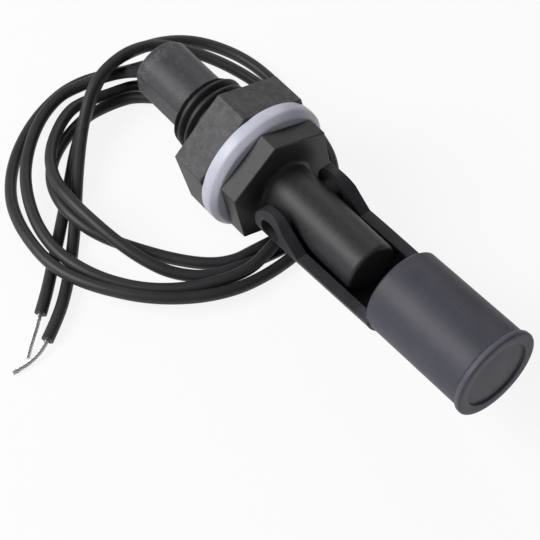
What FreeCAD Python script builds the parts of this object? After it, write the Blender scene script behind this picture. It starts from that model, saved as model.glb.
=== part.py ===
"""Side-mounted float level switch, built in millimetres.

The hollow switch body has a round tail, an M16 threaded shank, a hexagonal flange and a plain
stem that reaches into the tank. A reed switch is sealed in the stem. A forked float is hung on two
trunnion pins of the stem and carries the magnet. A gasket and a hexagonal nut clamp the wall of
the tank behind the flange. Two insulated wires leave the tail.

Frame: the origin is the centre of the flange's sealing face. +X runs along the thread into the
tank, +Z is up, and the float is hinged about Y.
"""
import FreeCAD, Part
import math
import os
from FreeCAD import Base

V = Base.Vector
X_AXIS = V(1, 0, 0)
Y_AXIS = V(0, 1, 0)

# ---- driving dimensions ----------------------------------------------------------------------
# switch body
FLANGE_AF = 21.0            # across the flats of the body's hexagon
FLANGE_THICK = 4.1
FLANGE_TURN = -21.3         # degrees from +Y to a corner of the flange
THREAD_DIA = 15.7           # outside of the M16 thread
THREAD_LEN = 19.5
THREAD_CHAMFER = 0.9
TAIL_DIA = 12.2
TAIL_LEN = 13.8
TAIL_CHAMFER = 0.6
TAIL_FLAT = 0.28            # depth of the flat moulded along the tail's -Y side
STEM_DIA = 10.35
STEM_LEN = 24.0             # from the flange's front face
STEM_ROUND = 0.8
STEM_FOOT_ROUND = 0.9
BORE_DIA = 8.4              # wire chamber in the tail and the shank
BORE_DEPTH = 31.0           # from the tail's end
REED_BORE_DIA = 6.0         # narrower chamber in the stem
REED_BORE_WALL = 2.0        # left at the stem's tip

# lock nut and gasket
NUT_AF = 24.0
NUT_THICK = 7.5
NUT_TURN = -19.0
NUT_CHAMFER = 0.6           # at both mouths of the nut's thread
NUT_THREAD_CLEAR = 0.06
GASKET_DIA = 26.2
GASKET_THICK = 3.5
GASKET_BEVEL = 1.1
GASKET_CLEAR = 0.25

# hinge
PIVOT_X = 10.3
PIN_DIA = 4.6
PIN_CLEAR = 0.08
PIN_INSET = 0.45            # the pin's end stops this far inside the fork's cheek
FLOAT_REST = 4.0            # degrees that the float stands above level
FLOAT_RISE = 0.5            # float's axis above the pivot

# float and fork, measured along the float's axis from the pivot
FORK_HALF_GAP = 6.3         # from the centre plane to an arm's inner face
FORK_CHEEK = 8.5            # from the centre plane to an eye's flat outer face
FORK_OUTER = 8.7            # outside radius of the fork near the pivot
FORK_ROOT = 8.5             # outside radius of the fork where it meets the float
FORK_TOP = 1.5              # the arms' flat top edge lies this far under the float's axis
FORK_FLOOR = 7.3            # inside depth of the fork's trough under the axis
FORK_FLOOR_START = -1.0
FORK_TAPER_START = 6.0      # the outside narrows from here to the float
EYE_RADIUS = 4.2
EYE_SLOPE_END = 7.5         # the eye's back runs down to the arm here
FLOAT_START = 24.9
FLOAT_DIA = 16.2
FLOAT_LEN = 22.0
FLOAT_WALL = 1.3
FLOAT_BACK = 1.6            # bulkhead at the float's rear
FLOAT_CHAMFER = 0.5         # at the float's rear rim
CAP_DIA = 17.2
CAP_LIP = 1.3
CAP_ROUND = 0.45
CAP_RECESS_DIA = 12.9
CAP_RECESS = 0.45
CAP_SPIGOT_LEN = 2.0
CAP_SPIGOT_WALL = 1.2
CAP_CLEAR = 0.05

# magnet in the float's bulkhead
MAGNET_DIA = 5.0
MAGNET_LEN = 6.0
MAGNET_CLEAR = 0.05
MAGNET_DROP = 2.2           # under the float's axis, in line with the reed switch
POCKET_WALL = 1.2
GLUE_THICK = 0.8

# reed switch and its leads
REED_DIA = 2.3
REED_LEN = 13.0
REED_END_GAP = 2.6          # from the chamber's end to the glass
REED_GLASS_WALL = 0.35
REED_SEAL = 1.6             # solid glass at each end
BLADE_WIDTH = 1.0
BLADE_THICK = 0.22
BLADE_OVERLAP = 1.4
BLADE_GAP = 0.16
LEAD_DIA = 0.6
REED_OFFSET = 1.15          # the glass lies this far under the stem's axis
LINK_RISE = 1.3             # the returned lead runs this far above the stem's axis
LINK_DIA = 1.4              # insulation on the returned lead
LINK_TURN = 1.4             # the returned lead turns this far in front of the glass
LINK_BARE_REAR = 2.5        # its ends that stay bare
LINK_BARE_FRONT = 0.6
LEAD_IN_BLADE = 0.5         # a lead's round end inside the foot of its blade
LEAD_SPREAD_START = 3.0     # the leads turn towards the wires between these two places
LEAD_SPREAD_END = -4.0
SOLDER_DIA = 1.3
SOLDER_LEN = 2.4
CORE_STUB = 3.0             # bared core inside the body
SLEEVE_WALL = 0.25
SLEEVE_LEN = 6.5
POTTING_LEN = 9.0
POTTING_RECESS = 4.0

# how the solids are made
PAST = 1.0                  # a cutting piece runs this far past the face that it cuts
BEYOND = 20.0               # a cutting piece with no set end runs this far from the pivot
ROUND_STEPS = 4             # facets of a small round

# wires
WIRE_DIA = 2.35
CORE_DIA = 0.8
WIRE_HALF_PITCH = 1.3       # from the axis to each wire inside the tail
WIRE_INSIDE = 17.0          # length of each wire inside the tail
WIRE_BEND = 15.2            # the wires start to turn down this far behind their inner ends

# bared, tinned ends of the wires, from the last route point
TIP_1_ROUTE = [(-7.2, -48.4, -12.4), (-5.2, -51.1, -12.8), (-3.2, -53.3, -13.1)]
TIP_2_ROUTE = [(-2.8, -49.9, -12.4), (-2.2, -52.2, -12.7), (-2.1, -54.5, -13), (-2.4, -57, -13.1)]

# route of each wire behind the tail: out and down to the floor, once round in the wide loop,
# under the stem, back under the tail, round again inside, then over the loops and under them
WIRE_1_ROUTE = [
    (-37, 1.2, -3), (-40.5, 0.1, -6.3), (-43.7, -1.7, -9), (-46.7, -4, -10.5),
    (-49.1, -7.7, -10.9), (-49.7, -14.6, -11.6), (-47.4, -22.6, -12.3), (-42.8, -29.6, -12.4),
    (-36.6, -34.9, -12.1), (-29.3, -38.1, -11.4), (-22, -39.5, -10.6), (-15.5, -39.3, -9.8),
    (-9.6, -37.8, -9.4), (-3.7, -34.5, -9.7), (2.1, -29.1, -10.6), (6.7, -22, -11.3),
    (9.4, -14.1, -11.5), (10.6, -6.9, -11.7), (11, -0.9, -11.9), (10.4, 4.1, -11.7),
    (8.5, 8.5, -10.9), (5, 11.8, -10), (0, 13.6, -9.5), (-6.6, 13.6, -9.6), (-14.3, 12, -10.1),
    (-22.7, 9.2, -10.7), (-30.7, 6.2, -11), (-37.4, 3.4, -11.2), (-41.9, 0.6, -11.6),
    (-44.2, -3, -12.1), (-45.1, -7.3, -12.4), (-45, -12, -12), (-43.4, -16.9, -10.7),
    (-39.8, -22.1, -9.4), (-34.7, -26.4, -8.5), (-28.5, -28.7, -7.9), (-21.8, -28.7, -7.6),
    (-15.3, -27.8, -7.8), (-9.4, -26.8, -8.8), (-4, -24.9, -10.2), (0.7, -21.8, -11.5),
    (4.3, -17.7, -12.2), (6.8, -12.8, -12.4), (8.2, -7.1, -12.4), (8.6, -0.7, -12.4),
    (7.3, 5.9, -12.4), (3.7, 12.1, -12.4), (-2.3, 16.9, -12.4), (-10.2, 20.1, -12.4),
    (-19.2, 21.6, -12.2), (-28.8, 21, -11.3), (-37.5, 17.5, -10.3), (-43.6, 11.9, -9.6),
    (-46.5, 6, -8.9), (-47.1, 0.4, -8), (-46.3, -4.9, -7.3), (-44.3, -9.6, -7.4),
    (-41.4, -13.7, -8.6), (-37.9, -17.5, -10.2), (-34, -21.6, -11.6), (-29.7, -26.2, -12.4),
    (-25.2, -30.7, -12.4), (-20.4, -35.2, -12.3), (-15.3, -39.9, -12.4), (-11.2, -44.2, -12.4),
    (-9.1, -46.4, -12.4),
]
WIRE_2_ROUTE = [
    (-36.4, -1.4, -3.2), (-39.6, -2.3, -6.4), (-42.4, -4.5, -8.8), (-44.8, -7.4, -10),
    (-46.4, -10.2, -9.8), (-46.3, -14.5, -9.6), (-44.4, -21.2, -10.1), (-40.4, -28, -10.5),
    (-34, -33, -10.5), (-26.4, -35.9, -10.2), (-18.9, -36.9, -9.9), (-12.3, -36.1, -9.8),
    (-6.4, -33.4, -10.2), (-1.2, -29.1, -10.5), (3.2, -23.3, -10.4), (6.3, -16.9, -10.1),
    (7.5, -11, -9.9), (7.4, -5.8, -10), (7.1, -0.9, -10.1), (6.5, 3.7, -10), (4.8, 7.8, -9.9),
    (1.5, 10.5, -9.8), (-3.7, 11.4, -10.2), (-10.8, 10.3, -10.7), (-19, 7.9, -11.1),
    (-27.2, 5, -11.3), (-34.1, 2, -11.3), (-38.6, -1, -11.5), (-40.9, -4.6, -12),
    (-41.9, -8.9, -12.3), (-42, -13.5, -12.4), (-41, -18.2, -12.4), (-38.8, -22.7, -11.9),
    (-35.1, -26.7, -11.1), (-29.8, -29.6, -10.2), (-24, -30.7, -9.7), (-18.8, -30.1, -9.8),
    (-14.3, -28.6, -10.5), (-9.7, -25.8, -11.3), (-4.5, -21.8, -12), (0.4, -17.2, -12.3),
    (3.8, -12.3, -12.4), (5.7, -7, -12.4), (6.1, -1.4, -12.4), (5.2, 4.2, -12.4),
    (2.4, 9.4, -12.4), (-2.9, 13.8, -12.4), (-10.6, 17, -12), (-19.5, 18.2, -11.3),
    (-28.6, 16.6, -10.2), (-37.8, 12, -8.4), (-44.3, 6, -6.6), (-45.9, 0.3, -5.7),
    (-44.8, -4.7, -5.3), (-42.8, -9.2, -5.4), (-40.1, -13.3, -6.3), (-37, -16.8, -7.7),
    (-33.8, -20, -9), (-30.3, -23, -10.3), (-26.2, -26.1, -11.4), (-21.7, -29.5, -12.3),
    (-17.5, -33.2, -12.4), (-13.5, -36.8, -12.4), (-9.8, -40.4, -12.3), (-6.4, -44.3, -12.4),
    (-3.7, -48.6, -12.4),
]


# ---- derived positions -----------------------------------------------------------------------
TAIL_START = -THREAD_LEN - TAIL_LEN
STEM_END = FLANGE_THICK + STEM_LEN
BORE_END = TAIL_START + BORE_DEPTH
REED_BORE_END = STEM_END - REED_BORE_WALL
PIN_REACH = FORK_CHEEK - PIN_INSET
PIN_HOLE = PIN_DIA / 2 + PIN_CLEAR
PIVOT = V(PIVOT_X, 0, 0)
FLOAT_END = FLOAT_START + FLOAT_LEN
ARM_TOP = FLOAT_RISE - FORK_TOP
FLOOR_TOP = FLOAT_RISE - FORK_FLOOR
POCKET_START = FLOAT_START + FLOAT_BACK / 2
POCKET_END = POCKET_START + MAGNET_LEN + GLUE_THICK
POCKET_RADIUS = MAGNET_DIA / 2 + MAGNET_CLEAR
MAGNET_HEIGHT = FLOAT_RISE - MAGNET_DROP
GLASS_FRONT = REED_BORE_END - REED_END_GAP
GLASS_REAR = GLASS_FRONT - REED_LEN
BLADE_MEET = (GLASS_FRONT + GLASS_REAR) / 2
WIRE_IN = TAIL_START + WIRE_INSIDE
JOINT = WIRE_IN + CORE_STUB


# ---- building blocks -------------------------------------------------------------------------
def rod(radius, start, end, y=0.0, z=0.0):
    """Round rod along X between two places."""
    return Part.makeCylinder(radius, end - start, V(start, y, z), X_AXIS)


def turned(profile):
    """Body of revolution about X from (x, radius) pairs that start and end on the axis."""
    points = [V(x, 0, radius) for x, radius in profile]
    return Part.Face(Part.makePolygon(points + points[:1])).revolve(V(), X_AXIS, 360)


def block(x0, x1, y0, y1, z0, z1):
    """Rectangular block between three pairs of places."""
    return Part.makeBox(x1 - x0, y1 - y0, z1 - z0, V(x0, y0, z0))


def hexagon(across_flats, turn, start, thick):
    """Hexagonal prism along X; a corner's radius is half the width over cos 30 degrees."""
    corner = across_flats / 2 / math.cos(math.radians(30))
    angles = [math.radians(turn + 60 * step) for step in range(6)]
    points = [V(start, corner * math.cos(a), corner * math.sin(a)) for a in angles]
    return Part.Face(Part.makePolygon(points + points[:1])).extrude(V(thick, 0, 0))


def rounded_corner(end, radius, out):
    """(x, radius) pairs of a quarter round from a cylinder of radius out to a face at end."""
    pairs = []
    for step in range(ROUND_STEPS + 1):
        a = math.radians(90 * step / ROUND_STEPS)
        pairs.append((end - radius + radius * math.sin(a), out - radius + radius * math.cos(a)))
    return pairs


def bend_reach(before, corner, after):
    """Distance from a corner at which its arc starts: 0.45 of the shorter run."""
    return 0.45 * min(corner.distanceToPoint(before), after.distanceToPoint(corner))


def bend_radius(before, corner, after):
    """Radius of the arc at a corner: its reach over the tangent of half the turn."""
    turn = (corner - before).getAngle(after - corner)
    return bend_reach(before, corner, after) / math.tan(turn / 2)


def tube_path(points):
    """Straight runs through the points, joined by arcs that touch both runs."""
    edges = []
    start = points[0]
    for before, corner, after in zip(points, points[1:], points[2:]):
        reach = bend_reach(before, corner, after)
        radius = bend_radius(before, corner, after)
        into = (corner - before).normalize()
        away = (after - corner).normalize()
        first = corner - into * reach
        last = corner + away * reach
        turn = into.getAngle(away)
        inward = (away - into).normalize()
        middle = corner + inward * (radius / math.cos(turn / 2) - radius)
        edges.append(Part.LineSegment(start, first).toShape())
        edges.append(Part.Arc(first, middle, last).toShape())
        start = last
    edges.append(Part.LineSegment(start, points[-1]).toShape())
    return Part.Wire(edges)


def tube(points, radius):
    """Round solid swept along a tube path."""
    path = tube_path(points)
    facing = points[1] - points[0]
    section = Part.Wire([Part.Circle(points[0], facing, radius).toShape()])
    return path.makePipeShell([section], True, False)


def in_float(shape):
    """Moves a shape from the float's own frame, level about the pivot, to its place at rest."""
    shape.translate(PIVOT)
    shape.rotate(PIVOT, Y_AXIS, -FLOAT_REST)
    return shape


# ---- switch body, nut and gasket -------------------------------------------------------------
def switch_body():
    """Tail, threaded shank, hexagonal flange, stem and trunnion pins, bored for the reed."""
    thread = THREAD_DIA / 2
    tail = TAIL_DIA / 2
    stem = STEM_DIA / 2
    profile = [(TAIL_START, 0), (TAIL_START, tail - TAIL_CHAMFER)]
    profile += [(TAIL_START + TAIL_CHAMFER, tail), (-THREAD_LEN, tail)]
    profile += [(-THREAD_LEN, thread - THREAD_CHAMFER), (-THREAD_LEN + THREAD_CHAMFER, thread)]
    profile += [(FLANGE_THICK / 2, thread), (FLANGE_THICK / 2, stem + STEM_FOOT_ROUND)]
    profile += [(FLANGE_THICK, stem + STEM_FOOT_ROUND)]
    for step in range(1, ROUND_STEPS + 1):
        a = math.radians(90 * step / ROUND_STEPS)
        x = FLANGE_THICK + STEM_FOOT_ROUND * (1 - math.cos(a))
        profile.append((x, stem + STEM_FOOT_ROUND * (1 - math.sin(a))))
    profile += rounded_corner(STEM_END, STEM_ROUND, stem)
    profile += [(STEM_END, 0)]
    body = turned(profile)
    body = body.fuse(hexagon(FLANGE_AF, FLANGE_TURN, 0, FLANGE_THICK))
    pins = Part.makeCylinder(PIN_DIA / 2, 2 * PIN_REACH, V(PIVOT_X, -PIN_REACH, 0), Y_AXIS)
    body = body.fuse(pins)
    flat = (TAIL_START - PAST, -THREAD_LEN, -tail - PAST, TAIL_FLAT - tail, -tail, tail)
    body = body.cut(block(*flat))
    body = body.cut(rod(BORE_DIA / 2, TAIL_START - PAST, BORE_END))
    body = body.cut(rod(REED_BORE_DIA / 2, BORE_END - PAST, REED_BORE_END))
    return body.removeSplitter()


def lock_nut():
    """Hexagonal nut that runs on the shank and clamps the tank's wall."""
    front = -GASKET_THICK
    rear = front - NUT_THICK
    hole = THREAD_DIA / 2 + NUT_THREAD_CLEAR
    wide = hole + NUT_CHAMFER
    inside = [(rear, 0), (rear, wide), (rear + NUT_CHAMFER, hole)]
    inside += [(front - NUT_CHAMFER, hole), (front, wide), (front, 0)]
    return hexagon(NUT_AF, NUT_TURN, rear, NUT_THICK).cut(turned(inside))


def gasket():
    """Flat sealing ring with a bevel on its side towards the flange."""
    out = GASKET_DIA / 2
    hole = THREAD_DIA / 2 + GASKET_CLEAR
    profile = [(-GASKET_THICK, 0), (-GASKET_THICK, out), (-GASKET_BEVEL, out)]
    profile += [(0, out - GASKET_BEVEL), (0, 0)]
    return turned(profile).cut(rod(hole, -GASKET_THICK - PAST, PAST))


def potting():
    """Sealing plug in the tail, cast round both wires."""
    start = TAIL_START + POTTING_RECESS
    end = start + POTTING_LEN
    plug = rod(BORE_DIA / 2, start, end)
    for side in (-1, 1):
        plug = plug.cut(rod(WIRE_DIA / 2, start - PAST, end + PAST, side * WIRE_HALF_PITCH))
    return plug


# ---- float, in a frame with the pivot at the origin and the float level ----------------------
def float_rod(radius, start, end, height=FLOAT_RISE):
    """Round rod along the float."""
    return rod(radius, start, end, 0, height)


def tangent_point(outside, radius, side):
    """Where the line from an outside point touches a circle about the pivot."""
    reach = math.hypot(outside[0], outside[1])
    turn = math.atan2(outside[1], outside[0]) + side * math.acos(radius / reach)
    return V(radius * math.cos(turn), 0, radius * math.sin(turn))


def fork_side():
    """Side view of the fork: an eye, its sloping back, the arm's top edge and the trough."""
    low = FLOAT_RISE - FORK_OUTER
    start = V(FORK_FLOOR_START, 0, low)
    slope_end = V(EYE_SLOPE_END, 0, ARM_TOP)
    rear_touch = tangent_point((start.x, start.z), EYE_RADIUS, -1)
    front_touch = tangent_point((slope_end.x, slope_end.z), EYE_RADIUS, 1)
    end = FLOAT_START + FLOAT_BACK / 2
    edges = [Part.LineSegment(start, rear_touch).toShape()]
    edges.append(Part.Arc(rear_touch, V(0, 0, EYE_RADIUS), front_touch).toShape())
    corners = [front_touch, slope_end, V(end, 0, ARM_TOP), V(end, 0, low), start]
    for first, second in zip(corners, corners[1:]):
        edges.append(Part.LineSegment(first, second).toShape())
    face = Part.Face(Part.Wire(edges))
    face.translate(V(0, -2 * FORK_OUTER, 0))
    return face.extrude(V(0, 4 * FORK_OUTER, 0))


def fork():
    """Forked trough whose two arms end in the bearing eyes."""
    rear = -EYE_RADIUS - PAST
    outside = [(rear, 0), (rear, FORK_OUTER)]
    outside += [(FORK_TAPER_START, FORK_OUTER), (FLOAT_START, FORK_ROOT)]
    outside += [(FLOAT_START + FLOAT_BACK, FORK_ROOT), (FLOAT_START + FLOAT_BACK, 0)]
    envelope = turned(outside)
    envelope.translate(V(0, 0, FLOAT_RISE))
    far = FLOAT_START + FLOAT_BACK
    cheeks = block(rear, far, -FORK_CHEEK, FORK_CHEEK, -BEYOND, BEYOND)
    shape = fork_side().common(envelope).common(cheeks)
    bottom = FLOOR_TOP + FORK_HALF_GAP
    shape = shape.cut(float_rod(FORK_HALF_GAP, -BEYOND, FLOAT_START, bottom))
    gap = (-BEYOND, FLOAT_START, -FORK_HALF_GAP, FORK_HALF_GAP, bottom, BEYOND)
    shape = shape.cut(block(*gap))
    return shape.cut(Part.makeCylinder(PIN_HOLE, 2 * BEYOND, V(0, -BEYOND, 0), Y_AXIS))


def float_shell():
    """Fork, bulkhead with the magnet's pocket, and the open cylinder of the float."""
    out = FLOAT_DIA / 2
    profile = [(FLOAT_START, 0), (FLOAT_START, out - FLOAT_CHAMFER)]
    profile += [(FLOAT_START + FLOAT_CHAMFER, out), (FLOAT_END, out), (FLOAT_END, 0)]
    shell = turned(profile)
    shell.translate(V(0, 0, FLOAT_RISE))
    shell = shell.fuse(fork())
    hollow = float_rod(out - FLOAT_WALL, FLOAT_START + FLOAT_BACK, FLOAT_END + PAST)
    pocket_wall = POCKET_RADIUS + POCKET_WALL
    shell = shell.cut(hollow)
    boss = float_rod(pocket_wall, FLOAT_START + FLOAT_BACK / 2, POCKET_END, MAGNET_HEIGHT)
    shell = shell.fuse(boss)
    pocket = float_rod(POCKET_RADIUS, POCKET_START, POCKET_END + PAST, MAGNET_HEIGHT)
    return shell.cut(pocket).removeSplitter()


def float_cap():
    """Cap welded on the float, with a lip, a shallow dished face and a locating ring."""
    out = CAP_DIA / 2
    front = FLOAT_END + CAP_LIP
    spigot = FLOAT_DIA / 2 - FLOAT_WALL - CAP_CLEAR
    profile = [(FLOAT_END, 0), (FLOAT_END, out - CAP_ROUND), (FLOAT_END + CAP_ROUND, out)]
    profile += rounded_corner(front, CAP_ROUND, out)
    profile += [(front, CAP_RECESS_DIA / 2), (front - CAP_RECESS, CAP_RECESS_DIA / 2)]
    profile += [(front - CAP_RECESS, 0)]
    cap = turned(profile)
    cap.translate(V(0, 0, FLOAT_RISE))
    ring = float_rod(spigot, FLOAT_END - CAP_SPIGOT_LEN, FLOAT_END)
    ring = ring.cut(float_rod(spigot - CAP_SPIGOT_WALL, FLOAT_END - CAP_SPIGOT_LEN, FLOAT_END))
    return cap.fuse(ring).removeSplitter()


def magnet():
    """Round bar magnet in the bulkhead's pocket."""
    end = POCKET_START + MAGNET_LEN
    return float_rod(MAGNET_DIA / 2, POCKET_START, end, MAGNET_HEIGHT)


def magnet_glue():
    """Sealant over the magnet."""
    start = POCKET_START + MAGNET_LEN
    return float_rod(POCKET_RADIUS, start, POCKET_END, MAGNET_HEIGHT)


# ---- reed switch and its connections ---------------------------------------------------------
def reed_glass():
    """Glass tube of the reed switch, closed round the blades at both ends."""
    radius = REED_DIA / 2
    glass = rod(radius, GLASS_REAR, GLASS_FRONT, 0, -REED_OFFSET)
    inside = rod(radius - REED_GLASS_WALL, GLASS_REAR + REED_SEAL, GLASS_FRONT - REED_SEAL,
                 0, -REED_OFFSET)
    glass = glass.cut(inside)
    ends = (GLASS_REAR - PAST, GLASS_FRONT + PAST)
    return glass.cut(rod(LEAD_DIA / 2, ends[0], ends[1], 0, -REED_OFFSET))


def blade(root, tip, lift):
    """Flat spring blade from its round root to its tip."""
    low = -REED_OFFSET + lift - BLADE_THICK / 2
    first, last = sorted((root, tip))
    half = BLADE_WIDTH / 2
    return block(first, last, -half, half, low, low + BLADE_THICK)


def reed_rear():
    """Rear blade and its lead, which runs back to wire 2."""
    root = GLASS_REAR + REED_SEAL
    lift = (BLADE_GAP + BLADE_THICK) / 2
    side = -WIRE_HALF_PITCH
    route = [V(root + LEAD_IN_BLADE, 0, -REED_OFFSET)]
    route += [V(LEAD_SPREAD_START, 0, -REED_OFFSET)]
    route += [V(LEAD_SPREAD_END, side, 0), V(JOINT, side, 0)]
    shape = tube(route, LEAD_DIA / 2)
    return shape.fuse(blade(root, BLADE_MEET + BLADE_OVERLAP / 2, -lift))


def link_route():
    """Centreline of the front lead, turned back over the glass to wire 1."""
    root = GLASS_FRONT - REED_SEAL
    turn = GLASS_FRONT + LINK_TURN
    route = [V(root - LEAD_IN_BLADE, 0, -REED_OFFSET)]
    route += [V(turn, 0, -REED_OFFSET), V(turn, 0, LINK_RISE)]
    route += [V(LEAD_SPREAD_START, 0, LINK_RISE), V(LEAD_SPREAD_END, WIRE_HALF_PITCH, 0)]
    route += [V(JOINT, WIRE_HALF_PITCH, 0)]
    return route


def reed_front():
    """Front blade and its lead."""
    lift = (BLADE_GAP + BLADE_THICK) / 2
    root = GLASS_FRONT - REED_SEAL
    shape = tube(link_route(), LEAD_DIA / 2)
    return shape.fuse(blade(root, BLADE_MEET - BLADE_OVERLAP / 2, lift))


def link_sleeve():
    """Insulation on the straight stretch of the returned lead."""
    start = LEAD_SPREAD_START + LINK_BARE_REAR
    end = GLASS_FRONT - LINK_BARE_FRONT
    sleeve = rod(LINK_DIA / 2, start, end, 0, LINK_RISE)
    return sleeve.cut(rod(LEAD_DIA / 2, start - PAST, end + PAST, 0, LINK_RISE))


def solder(side):
    """Solder round the butt of a wire's core and a lead."""
    y = side * WIRE_HALF_PITCH
    drop = rod(SOLDER_DIA / 2, JOINT - SOLDER_LEN / 2, JOINT + SOLDER_LEN / 2, y)
    drop = drop.cut(rod(CORE_DIA / 2, JOINT - SOLDER_LEN, JOINT, y))
    return drop.cut(rod(LEAD_DIA / 2, JOINT, JOINT + SOLDER_LEN, y))


def joint_sleeve(side):
    """Shrunk sleeve over a soldered joint."""
    y = side * WIRE_HALF_PITCH
    sleeve = rod(SOLDER_DIA / 2 + SLEEVE_WALL, WIRE_IN, WIRE_IN + SLEEVE_LEN, y)
    return sleeve.cut(rod(SOLDER_DIA / 2, WIRE_IN - PAST, WIRE_IN + SLEEVE_LEN + PAST, y))


def core_stub(side):
    """Bared core between a wire's insulation and the solder joint."""
    return rod(CORE_DIA / 2, WIRE_IN, JOINT, side * WIRE_HALF_PITCH)


# ---- wires -----------------------------------------------------------------------------------
def wire_points(side, route):
    """Straight start inside the tail, and the loose route behind it."""
    y = side * WIRE_HALF_PITCH
    return [V(WIRE_IN, y, 0), V(WIRE_IN - WIRE_BEND, y, 0)] + [V(*point) for point in route]


def tip_points(route, tip):
    """The bared core goes on from the insulation's end."""
    return [V(*route[-1])] + [V(*point) for point in tip]


def report_route(name, points, radius, shape):
    """Prints a tube's tightest bend, its length and its volume against section times length."""
    corners = zip(points, points[1:], points[2:])
    bends = [bend_radius(before, corner, after) for before, corner, after in corners]
    length = tube_path(points).Length
    expected = math.pi * radius ** 2 * length
    print(name, "tightest bend", round(min(bends), 1), "length", round(length, 1),
          "volume ratio", round(shape.Volume / expected, 4))


# ---- build and export ------------------------------------------------------------------------
NODES = {
    "body": switch_body(),
    "lock_nut": lock_nut(),
    "gasket": gasket(),
    "potting": potting(),
    "float_shell": in_float(float_shell()),
    "float_cap": in_float(float_cap()),
    "magnet": in_float(magnet()),
    "magnet_glue": in_float(magnet_glue()),
    "reed_glass": reed_glass(),
    "reed_blade_rear": reed_rear(),
    "reed_blade_front": reed_front(),
    "link_sleeve": link_sleeve(),
}

WIRES = [(1, 1, WIRE_1_ROUTE, TIP_1_ROUTE), (2, -1, WIRE_2_ROUTE, TIP_2_ROUTE)]
for number, side, route, tip in WIRES:
    NODES[f"solder_{number}"] = solder(side)
    NODES[f"joint_sleeve_{number}"] = joint_sleeve(side)
    NODES[f"wire_core_{number}"] = core_stub(side)
    for kind, points, radius in (("wire", wire_points(side, route), WIRE_DIA / 2),
                                 ("wire_tip", tip_points(route, tip), CORE_DIA / 2)):
        shape = tube(points, radius)
        NODES[f"{kind}_{number}"] = shape
        report_route(f"{kind}_{number}", points, radius, shape)

os.makedirs("parts", exist_ok=True)
for name, shape in NODES.items():
    print(name, shape.isValid(), len(shape.Solids), round(shape.Volume, 2))
    shape.exportStep("parts/" + name + ".step")
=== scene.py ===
import bmesh
import bpy
import numpy as np
from mathutils import Matrix


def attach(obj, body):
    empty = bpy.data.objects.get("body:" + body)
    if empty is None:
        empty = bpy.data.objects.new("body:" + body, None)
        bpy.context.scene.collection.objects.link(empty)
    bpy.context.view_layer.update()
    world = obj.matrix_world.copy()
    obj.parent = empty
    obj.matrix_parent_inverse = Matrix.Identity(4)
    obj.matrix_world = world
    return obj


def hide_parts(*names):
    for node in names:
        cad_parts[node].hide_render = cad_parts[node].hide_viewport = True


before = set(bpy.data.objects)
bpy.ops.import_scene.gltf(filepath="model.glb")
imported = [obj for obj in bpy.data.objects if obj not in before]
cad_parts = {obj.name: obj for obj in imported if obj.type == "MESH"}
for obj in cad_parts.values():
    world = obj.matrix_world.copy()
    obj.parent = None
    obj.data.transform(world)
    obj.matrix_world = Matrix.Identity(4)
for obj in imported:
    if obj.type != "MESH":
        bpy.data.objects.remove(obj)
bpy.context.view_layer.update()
MM = 0.001


# Viewpoint: a still-life camera above and in front of the float, looking back along the stem.
# Its long lens keeps the hexagons and the float's cylinder nearly free of perspective.
EYE = np.array([129.76, -101.58, 211.72]) * MM
TO_RIGHT = np.array([0.6325, 0.7744, -0.0161])
TO_BELOW = np.array([0.6358, -0.5310, -0.5601])
LENS_LENGTH = 98.08
SENSOR_WIDTH = 36.0
CLIP_NEAR = 0.01
CLIP_FAR = 30.0


def camera_turn(right, below):
    """Rotation whose columns are the unit right vector, the upward vector less its share along
    the right one, and their cross product."""
    x = right / np.linalg.norm(right)
    y = (below @ x) * x - below
    y /= np.linalg.norm(y)
    return np.stack([x, y, np.cross(x, y)], axis=1)


lens = bpy.data.cameras.new("still_life_lens")
lens.lens = LENS_LENGTH
lens.sensor_width = SENSOR_WIDTH
lens.clip_start = CLIP_NEAR
lens.clip_end = CLIP_FAR
camera = bpy.data.objects.new("still_life_camera", lens)
bpy.context.scene.collection.objects.link(camera)
placing = np.eye(4)
placing[:3, :3] = camera_turn(TO_RIGHT, TO_BELOW)
placing[:3, 3] = EYE
camera.matrix_world = Matrix(placing.tolist())
bpy.context.scene.camera = camera


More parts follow.
